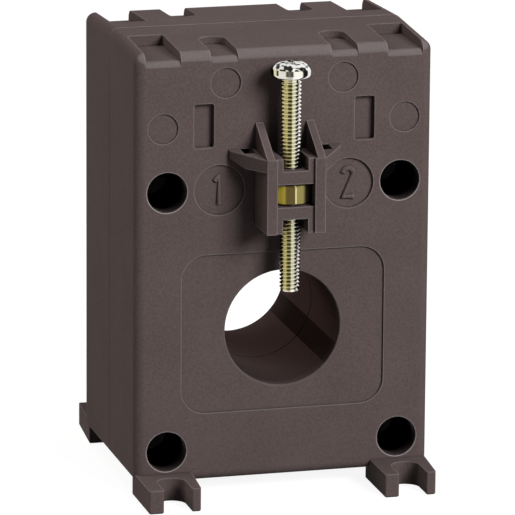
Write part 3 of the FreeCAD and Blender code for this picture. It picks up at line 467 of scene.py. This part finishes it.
nut = bmesh.new()
flat_radius = NUT_FLATS / 2
ring = [(NUT_BORE, 0), (NUT_RIM, 0), (flat_radius, 0), (flat_radius, NUT_TALL), (NUT_RIM, NUT_TALL),
        (NUT_BORE, NUT_TALL)]
points = [nut.verts.new((radius, 0, height)) for radius, height in ring]
turn_outline(nut, points, [nut.edges.new((points[k - 1], points[k])) for k in range(len(points))], NUT_STEPS)
for corner in nut.verts:
    if corner.co.xy.length > (NUT_RIM + flat_radius) / 2:
        angle = atan2(corner.co.y, corner.co.x)
        reach = flat_radius / cos((angle + pi / 6) % (pi / 3) - pi / 6)
        drop = (reach - NUT_RIM) / 2
        height = drop if corner.co.z < NUT_TALL / 2 else NUT_TALL - drop
        corner.co = (reach * cos(angle), reach * sin(angle), height)
nut_centre = CLAMP_AXIS + Vector((0, 0, NUT_LOW))
nut_piece = new_piece("hexagon_nut", nut, nut_centre)
smooth_by_angle(nut_piece, NUT_CREASE)
brass_with_painted_reflections, tree, shader = new_material("brass_with_painted_reflections", NUT_COLOUR, NUT_ROUGHNESS, NUT_METALLIC,
                                           nut_centre)
# The flats get bands of painted reflection, a painted highlight and painted shadow
across = calculate(tree, "MULTIPLY_ADD", object_axes(tree)["X"], 1 / NUT_FLATS, 0.5)
tree.links.new(stripes(tree, across, NUT_PAINTED_REFLECTIONS), shader.inputs["Base Color"])
add_bump(tree, shader, noise(tree, NUT_GRAIN, SCRATCH_DETAIL), NUT_GRAIN_HEIGHT)
ride(nut_piece, "case", brass_with_painted_reflections)
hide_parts("clamp_nut")

# The clamping screw is steel with a yellow passivated zinc plating: a rolled thread with rounded
# crests over nearly its whole length, a short neck, and a pan head with a cross recess.
THREAD_PITCH = 0.551 * MM
THREAD_CREST = 1.495 * MM
THREAD_ROOT = 1.2 * MM
THREAD_LOW = 30.9 * MM
THREAD_TURNS = 56
THREAD_STEPS = 24
ROOT_ROUND, CREST_ROUND = 0.05 * MM, 0.04 * MM
# The thread's flank from root to crest: the radius, and how far along the pitch
THREAD_FLANK = [(THREAD_ROOT, 0.0), (THREAD_ROOT + ROOT_ROUND, 0.13), (THREAD_CREST - CREST_ROUND, 0.36),
                (THREAD_CREST, 0.44)]
MERGE_REACH = 0.002 * MM
GROOVE_DARK = 1.22 * MM
GROOVE_CLEAR = 1.4 * MM
# Radius and height of the turned ends, in millimetres
HEAD_OUTLINE = [(1.0, 61.5), (1.25, 61.55), (1.3, 61.7), (1.3, 62.05), (1.4, 62.1), (2.3, 62.12),
                (2.62, 62.2), (2.8, 62.38), (2.87, 62.64), (2.87, 63.05), (2.82, 63.3), (2.68, 63.56),
                (2.46, 63.82), (2.2, 64.02), (1.95, 64.15), (1.65, 64.26)]
TIP_OUTLINE = [(1.2, 30.8), (1.32, 30.86), (1.36, 30.94), (1.36, 31.06), (1.1, 31.3)]
TURNING_STEPS = 64
TURNING_CREASE = 35
CROSS_LENGTH = 3.1 * MM
CROSS_WIDTH = 0.7 * MM
CROSS_DEPTH = 1.0 * MM
CROSS_TAPER = 0.8
# Painted reflections turn from yellow to silver across the thread, and painted shade lies in its grooves:
# places as a share of its radius, with the colour of the crests and how bright the grooves between them are
THREAD_REFLECTIONS_AND_GROOVE_SHADE = [(-1.0, (0.62, 0.57, 0.29), 0.75), (-0.36, (0.80, 0.74, 0.42), 0.8),
                (-0.28, (0.64, 0.60, 0.35), 0.1), (0.04, (0.64, 0.60, 0.37), 0.1),
                (0.12, (0.78, 0.75, 0.57), 0.75), (0.38, (0.80, 0.77, 0.63), 0.75),
                (0.46, (0.86, 0.84, 0.76), 0.08), (0.7, (0.97, 0.94, 0.87), 0.1),
                (0.77, (1.0, 0.97, 0.9), 0.85), (1.0, (1.0, 0.97, 0.92), 0.85)]
# The head's rim gets bands of painted reflection between two heights, as a share of its radius, and its
# crown gets patches of painted dark reflection
HEAD_RADIUS = 2.87 * MM
RIM_LOW, CROWN_LOW = 62.7 * MM, 63.45 * MM
CROWN_REFLECTION_SIZE = 0.6 * MM
CROWN_DARK_REFLECTION, CROWN_BARE = (0.04, 0.04, 0.04, 1), (1, 1, 1, 1)
SPOT_START, SPOT_END = 0.4, 0.5
HEAD_PAINTED_REFLECTIONS = [(-1.0, (0.95, 0.9, 0.5)), (-0.76, (1.0, 0.95, 0.6)), (-0.72, (0.05, 0.05, 0.05)),
              (-0.66, (0.05, 0.05, 0.05)), (-0.62, (1.0, 1.0, 1.0)), (-0.3, (1.0, 1.0, 0.98)),
              (-0.24, (0.1, 0.1, 0.1)), (-0.1, (0.3, 0.3, 0.3)), (0.06, (0.06, 0.06, 0.06)),
              (0.12, (0.9, 0.87, 0.8)), (0.54, (0.9, 0.88, 0.86)), (0.6, (0.2, 0.2, 0.2)),
              (0.72, (0.3, 0.3, 0.3)), (0.76, (0.06, 0.06, 0.06)), (0.82, (1.0, 1.0, 1.0)),
              (1.0, (0.8, 0.8, 0.8))]
# The painted bands lie across a direction that is turned 15 degrees about the screw's axis
ACROSS_X, ACROSS_Y = 0.965, -0.262
# Clouds in the plating change its gloss by this share, and hold so many scratches
GLOSS_SPREAD = 0.3
SCRATCHES = 12


def metal(name, colour, shade, roughness, cloud, scratch, centre=(0, 0, 0)):
    """A plated metal with clouds in its colour and its gloss, and fine scratches of the given height."""
    material, tree, shader = new_material(name, colour, roughness, 1.0, centre)
    clouds = noise(tree, cloud)
    tree.links.new(blend_colours(tree, clouds, shade, colour), shader.inputs["Base Color"])
    gloss = tree.nodes.new("ShaderNodeMapRange")
    gloss.inputs["To Min"].default_value = roughness * (1 - GLOSS_SPREAD)
    gloss.inputs["To Max"].default_value = roughness * (1 + GLOSS_SPREAD)
    tree.links.new(clouds, gloss.inputs["Value"])
    tree.links.new(gloss.outputs["Result"], shader.inputs["Roughness"])
    add_bump(tree, shader, noise(tree, cloud / SCRATCHES, SCRATCH_DETAIL), scratch)
    return material


def sideways(tree, axes, radius):
    """How far a point lies to the side: 0 at the left of a turned piece, 1 at the right."""
    along_x = calculate(tree, "MULTIPLY", axes["X"], ACROSS_X)
    turned = calculate(tree, "MULTIPLY_ADD", axes["Y"], ACROSS_Y, along_x)
    return calculate(tree, "MULTIPLY_ADD", turned, 0.5 / radius, 0.5)


def lathe(mesh, outline):
    """Turns an outline about the Z axis, closes its lower end and returns the rim of the upper one."""
    points = [mesh.verts.new((radius * MM, 0, height * MM)) for radius, height in outline]
    turn_outline(mesh, points, [mesh.edges.new(pair) for pair in zip(points, points[1:])], TURNING_STEPS)
    middle = (outline[0][1] + outline[-1][1]) / 2 * MM
    rims = [edge for edge in mesh.edges if edge.is_boundary]
    bmesh.ops.contextual_create(mesh, geom=[edge for edge in rims if edge.verts[0].co.z < middle])
    return [edge for edge in rims if edge.verts[0].co.z > middle]


def cross_outline(length, width):
    """The corners of a cross, anticlockwise."""
    far, close = length / 2, width / 2
    quarter = [(far, -close), (far, close), (close, close)]
    corners = []
    for _ in range(4):
        corners += quarter
        quarter = [(-y, x) for x, y in quarter]
    return corners


def sink_cross(mesh, rim, height):
    """Fills the ring of a flat top and sinks a cross recess in it."""
    outline = cross_outline(CROSS_LENGTH, CROSS_WIDTH)
    top = [mesh.verts.new((x, y, height)) for x, y in outline]
    floor = [mesh.verts.new((x * CROSS_TAPER, y * CROSS_TAPER, height - CROSS_DEPTH)) for x, y in outline]
    mouth = [mesh.edges.new((top[k - 1], top[k])) for k in range(len(top))]
    for k in range(len(top)):
        mesh.faces.new((top[k - 1], top[k], floor[k], floor[k - 1]))
    mesh.faces.new(floor)
    bmesh.ops.triangle_fill(mesh, edges=rim + mouth, use_beauty=True)


thread = bmesh.new()
section = THREAD_FLANK + [(radius, 1 - share) for radius, share in reversed(THREAD_FLANK)]
points = [thread.verts.new((radius, 0, THREAD_LOW + share * THREAD_PITCH)) for radius, share in section]
profile = [thread.edges.new(pair) for pair in zip(points, points[1:])]
bmesh.ops.spin(thread, geom=points + profile, cent=(0, 0, 0), axis=(0, 0, 1),
               dvec=(0, 0, THREAD_PITCH / THREAD_STEPS), angle=2 * pi * THREAD_TURNS,
               steps=THREAD_TURNS * THREAD_STEPS, use_duplicate=False)
bmesh.ops.remove_doubles(thread, verts=thread.verts, dist=MERGE_REACH)
for face in thread.faces:
    face.smooth = True
thread_piece = new_piece("clamp_screw_thread", thread, CLAMP_AXIS)

head = bmesh.new()
sink_cross(head, lathe(head, HEAD_OUTLINE), HEAD_OUTLINE[-1][1] * MM)
head_piece = new_piece("clamp_screw_head", head, CLAMP_AXIS)
smooth_by_angle(head_piece, TURNING_CREASE)

tip = bmesh.new()
bmesh.ops.contextual_create(tip, geom=lathe(tip, TIP_OUTLINE))
tip_piece = new_piece("clamp_screw_tip", tip, CLAMP_AXIS)
smooth_by_angle(tip_piece, TURNING_CREASE)

thread_zinc = metal("thread_zinc", colour=(0.90, 0.87, 0.74, 1), shade=(0.84, 0.79, 0.62, 1), roughness=0.18,
                    cloud=1.2 * MM, scratch=0.0015 * MM, centre=CLAMP_AXIS)
tree = thread_zinc.node_tree
shader = tree.nodes["Principled BSDF"]
axes = object_axes(tree)
across = sideways(tree, axes, THREAD_CREST)
# Painted reflections across the thread, and painted shade in its grooves that changes across it
painted_thread_reflections = stripes(tree, across, [(place, colour) for place, colour, _ in THREAD_REFLECTIONS_AND_GROOVE_SHADE])
grooves = stripes(tree, across, [(place, (share, share, share)) for place, _, share in THREAD_REFLECTIONS_AND_GROOVE_SHADE])
crest = ramp_between(tree, distance_from_axis(tree, axes["X"], axes["Y"]), GROOVE_DARK, GROOVE_CLEAR)
painted_groove_shade = calculate(tree, "MULTIPLY_ADD", crest, calculate(tree, "SUBTRACT", 1.0, grooves), grooves)
tree.links.new(painted_thread_reflections, shader.inputs["Base Color"])
scale_colour(tree, shader, painted_groove_shade)

head_zinc = metal("head_zinc", colour=(0.95, 0.95, 0.93, 1), shade=(0.88, 0.87, 0.82, 1), roughness=0.14,
                  cloud=1.2 * MM, scratch=0.001 * MM, centre=CLAMP_AXIS)
tree = head_zinc.node_tree
shader = tree.nodes["Principled BSDF"]
axes = object_axes(tree)
# Painted reflections: bands on the rim and dark patches on the crown
bands = stripes(tree, sideways(tree, axes, HEAD_RADIUS), HEAD_PAINTED_REFLECTIONS)
crown_reflections = blend_colours(tree, noise(tree, CROWN_REFLECTION_SIZE, 0.0), CROWN_DARK_REFLECTION, CROWN_BARE,
                      SPOT_START, SPOT_END)
on_crown = calculate(tree, "GREATER_THAN", axes["Z"], CROWN_LOW)
on_rim = calculate(tree, "COMPARE", axes["Z"], (CROWN_LOW + RIM_LOW) / 2, (CROWN_LOW - RIM_LOW) / 2)
paint(tree, shader, on_crown, crown_reflections, "MULTIPLY")
paint(tree, shader, on_rim, bands, "MULTIPLY")

tip_zinc = metal("tip_zinc", colour=(0.98, 0.95, 0.86, 1), shade=(0.9, 0.85, 0.72, 1), roughness=0.2,
                 cloud=1.2 * MM, scratch=0.001 * MM, centre=CLAMP_AXIS)
for piece, material in ((thread_piece, thread_zinc), (head_piece, head_zinc), (tip_piece, tip_zinc)):
    ride(piece, "clamping_screw", material)
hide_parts("clamp_screw")

# Four blackened tapping screws sit at the bottom of the corner wells, painted near black as painted shade
# too, and steel screws hold the wires in the bay at the rear, on square washers and brass posts.
# Blackened steel, painted near black as painted shade at the bottom of the wells
black_steel_and_shade = metal("black_steel_and_shade", colour=(0.004, 0.004, 0.004, 1), shade=(0.002, 0.002, 0.002, 1),
                    roughness=0.5, cloud=1.5 * MM, scratch=0.002 * MM)
bright_zinc = metal("bright_zinc", colour=(0.62, 0.63, 0.64, 1), shade=(0.5, 0.51, 0.53, 1),
                    roughness=0.25, cloud=1.5 * MM, scratch=0.002 * MM)
brass = metal("brass", colour=(0.74, 0.60, 0.20, 1), shade=(0.60, 0.46, 0.14, 1),
              roughness=0.25, cloud=1.5 * MM, scratch=0.001 * MM)
dress(["housing_screws"], black_steel_and_shade)
dress(["terminal_screw_left", "terminal_screw_right", "terminal_washer_left", "terminal_washer_right"],
      bright_zinc)
dress(["terminal_post_left", "terminal_post_right"], brass)

# Inside the case: a toroidal core of wound steel strip in a white plastic case, the enamelled copper
# winding with its yellow tape and sleeved leads, and two rings of grey foam that hold it still.
WINDOW_CENTRE = Vector((0, 0, WINDOW_HEIGHT))
STRIP_THICK = 0.3 * MM
WIRE_ACROSS = 0.35 * MM
WAVE_LENGTH = 0.314
WAVER = 0.6
BAND_HEIGHT = 0.2
BAND_START, BAND_END = 0.2, 0.6


def banded(name, low, high, roughness, band):
    """Bare metal in fine rings about the window's axis, such as wound strip or wire."""
    material, tree, shader = new_material(name, low, roughness, 1.0, WINDOW_CENTRE)
    wave = tree.nodes.new("ShaderNodeTexWave")
    wave.wave_type = "RINGS"
    wave.rings_direction = "Y"
    wave.inputs["Scale"].default_value = WAVE_LENGTH / band
    wave.inputs["Distortion"].default_value = WAVER
    tree.links.new(pattern_place(tree), wave.inputs["Vector"])
    colour = blend_colours(tree, wave.outputs["Fac"], low, high, BAND_START, BAND_END)
    tree.links.new(colour, shader.inputs["Base Color"])
    add_bump(tree, shader, wave.outputs["Fac"], band * BAND_HEIGHT)
    return material


wound_strip = banded("wound_strip", (0.2, 0.2, 0.21, 1), (0.45, 0.45, 0.46, 1), 0.35, STRIP_THICK)
enamelled_copper = banded("enamelled_copper", (0.35, 0.1, 0.03, 1), (0.8, 0.33, 0.13, 1), 0.3, WIRE_ACROSS)
core_case = moulded_plastic("core_case_plastic", colour=(0.72, 0.7, 0.64, 1), shade=(0.62, 0.6, 0.55, 1),
                            roughness=0.4, grain=0.3 * MM, grain_height=0.004 * MM)
tape = moulded_plastic("polyester_tape", colour=(0.78, 0.6, 0.1, 1), shade=(0.68, 0.5, 0.06, 1),
                       roughness=0.3, grain=0.5 * MM, grain_height=0.01 * MM)
foam = moulded_plastic("grey_foam", colour=(0.12, 0.12, 0.13, 1), shade=(0.05, 0.05, 0.055, 1),
                       roughness=0.95, grain=0.45 * MM, grain_height=0.12 * MM)
sleeve = moulded_plastic("lead_sleeve", colour=(0.05, 0.05, 0.055, 1), shade=(0.03, 0.03, 0.03, 1),
                         roughness=0.6, grain=0.2 * MM, grain_height=0.01 * MM)
dress(["core_strip"], wound_strip)
dress(["secondary_winding"], enamelled_copper)
dress(["core_cap_front", "core_cap_rear"], core_case)
dress(["winding_tape"], tape)
dress(["front_cushion", "rear_cushion"], foam)
dress(["lead_start", "lead_end"], sleeve)

# Stage: a white floor that takes the object's shadow, a key lamp in front and to the right, lamps for
# the left side and the roof, and a bright room that only shiny metal mirrors.
FLOOR_SIZE = 1.2
FLOOR_COLOUR = (0.3, 0.3, 0.3, 1)
FLOOR_ROUGHNESS = 0.9
FLOOR_WHITE = 0.9
FLOOR_LIT = 0.2
WORLD_LIGHT = 0.05
GLOSS_LIGHT = 0.9
# What shiny metal mirrors round the object: azimuth from the front in degrees, and the colour there
WHITE = (1, 1, 1, 1)
WARM_WHITE = (0.9, 0.87, 0.8, 1)
DUSK = (0.6, 0.58, 0.5, 1)
GLARE = (1.3, 1.3, 1.25, 1)
GLOOM = (0.04, 0.04, 0.04, 1)
GLOSS_ROOM = [(-180, WHITE), (-145, WARM_WHITE), (-48, WARM_WHITE), (-40, DUSK), (-6, DUSK), (2, GLARE),
              (54, GLARE), (60, GLOOM), (90, GLOOM), (98, (1.1, 1.1, 1.1, 1)), (180, WHITE)]
AIM = Vector((0, 0, 0.033))
LIGHTS = {
    # name: azimuth from the front and elevation in degrees, distance, size, power, colour
    "key_light": (27, 29, 0.62, 0.3, 4.85, (1.0, 1.0, 1.0)),
    "side_light": (-105, 30, 0.58, 0.3, 1.6, (1.0, 0.93, 0.90)),
    "top_light": (-80, 84, 0.57, 0.3, 0.85, (1.0, 1.0, 1.0)),
}

floor_mesh = bmesh.new()
bmesh.ops.create_grid(floor_mesh, x_segments=1, y_segments=1, size=FLOOR_SIZE)
floor = new_piece("floor", floor_mesh)
floor_material, tree, shader = new_material("pale_floor", FLOOR_COLOUR, FLOOR_ROUGHNESS)
lit = tree.nodes.new("ShaderNodeBsdfDiffuse")
lit.inputs["Color"].default_value = (FLOOR_LIT, FLOOR_LIT, FLOOR_LIT, 1)
white = tree.nodes.new("ShaderNodeEmission")
white.inputs["Strength"].default_value = FLOOR_WHITE
to_camera = tree.nodes.new("ShaderNodeAddShader")
tree.links.new(lit.outputs["BSDF"], to_camera.inputs[0])
tree.links.new(white.outputs["Emission"], to_camera.inputs[1])
path = tree.nodes.new("ShaderNodeLightPath")
pick = tree.nodes.new("ShaderNodeMixShader")
tree.links.new(path.outputs["Is Camera Ray"], pick.inputs["Fac"])
tree.links.new(shader.outputs["BSDF"], pick.inputs[1])
tree.links.new(to_camera.outputs["Shader"], pick.inputs[2])
tree.links.new(pick.outputs["Shader"], tree.nodes["Material Output"].inputs["Surface"])
floor.data.materials.append(floor_material)
floor.visible_glossy = False

for name, (azimuth, elevation, distance, size, power, colour) in LIGHTS.items():
    turn, tilt = radians(azimuth), radians(elevation)
    outward = Vector((sin(turn) * cos(tilt), -cos(turn) * cos(tilt), sin(tilt)))
    lamp = bpy.data.lights.new(name, "AREA")
    lamp.shape = "DISK"
    lamp.size = size
    lamp.energy = power
    lamp.color = colour
    light = bpy.data.objects.new(name, lamp)
    light.location = AIM + outward * distance
    light.rotation_euler = outward.to_track_quat("Z", "Y").to_euler()
    light.visible_glossy = False
    bpy.context.collection.objects.link(light)

world = bpy.data.worlds.new("studio")
world.use_nodes = True
tree = world.node_tree
around = tree.nodes["Background"]
around.inputs["Color"].default_value = WHITE
around.inputs["Strength"].default_value = WORLD_LIGHT
direction = tree.nodes.new("ShaderNodeTexCoord")
split = tree.nodes.new("ShaderNodeSeparateXYZ")
tree.links.new(direction.outputs["Generated"], split.inputs["Vector"])
turn = calculate(tree, "ARCTAN2", split.outputs["X"], calculate(tree, "MULTIPLY", split.outputs["Y"], -1.0))
room = tree.nodes.new("ShaderNodeValToRGB")
room.color_ramp.elements[0].color = GLOSS_ROOM[0][1]
room.color_ramp.elements[1].color = GLOSS_ROOM[-1][1]
for azimuth, colour in GLOSS_ROOM[1:-1]:
    room.color_ramp.elements.new(azimuth / 360 + 0.5).color = colour
tree.links.new(calculate(tree, "MULTIPLY_ADD", turn, 0.5 / pi, 0.5), room.inputs["Fac"])
gloss = tree.nodes.new("ShaderNodeBackground")
gloss.inputs["Strength"].default_value = GLOSS_LIGHT
tree.links.new(room.outputs["Color"], gloss.inputs["Color"])
backdrop = tree.nodes.new("ShaderNodeBackground")
backdrop.inputs["Color"].default_value = WHITE
path = tree.nodes.new("ShaderNodeLightPath")
mirrored = calculate(tree, "MULTIPLY", path.outputs["Is Glossy Ray"], calculate(
    tree, "LESS_THAN", path.outputs["Diffuse Depth"], 0.5))
last = around
for ray, seen in ((mirrored, gloss), (path.outputs["Is Camera Ray"], backdrop)):
    pick = tree.nodes.new("ShaderNodeMixShader")
    tree.links.new(ray, pick.inputs["Fac"])
    tree.links.new(last.outputs[0], pick.inputs[1])
    tree.links.new(seen.outputs[0], pick.inputs[2])
    last = pick
tree.links.new(last.outputs[0], tree.nodes["World Output"].inputs["Surface"])
scene = bpy.context.scene
scene.world = world

# Camera: a long lens from slightly above and a little to the left of the front, so that the case's
# left side and its roof are seen at a low angle.
PICTURE_SIDE = 515
LENS = 379.49
SENSOR = 36.0
FARTHEST = 10.0
CAMERA_PLACE = (-0.201845, -0.745180, 0.229395)
AZIMUTH, ELEVATION, ROLL = radians(-15.18348), radians(14.42266), radians(0.416557)

lens = bpy.data.cameras.new("camera")
lens.sensor_width = SENSOR
lens.lens = LENS
lens.clip_end = FARTHEST
camera = bpy.data.objects.new("camera", lens)
back = Vector((sin(AZIMUTH) * cos(ELEVATION), -cos(AZIMUTH) * cos(ELEVATION), sin(ELEVATION)))
right = Vector((cos(AZIMUTH), sin(AZIMUTH), 0))
up = back.cross(right)
turned_right = right * cos(ROLL) + up * sin(ROLL)
turned_up = up * cos(ROLL) - right * sin(ROLL)
place = Matrix((turned_right, turned_up, back)).transposed().to_4x4()
place.translation = CAMERA_PLACE
camera.matrix_world = place
bpy.context.collection.objects.link(camera)
scene.camera = camera
scene.render.resolution_x = PICTURE_SIDE
scene.render.resolution_y = PICTURE_SIDE
scene.view_settings.view_transform = "Standard"
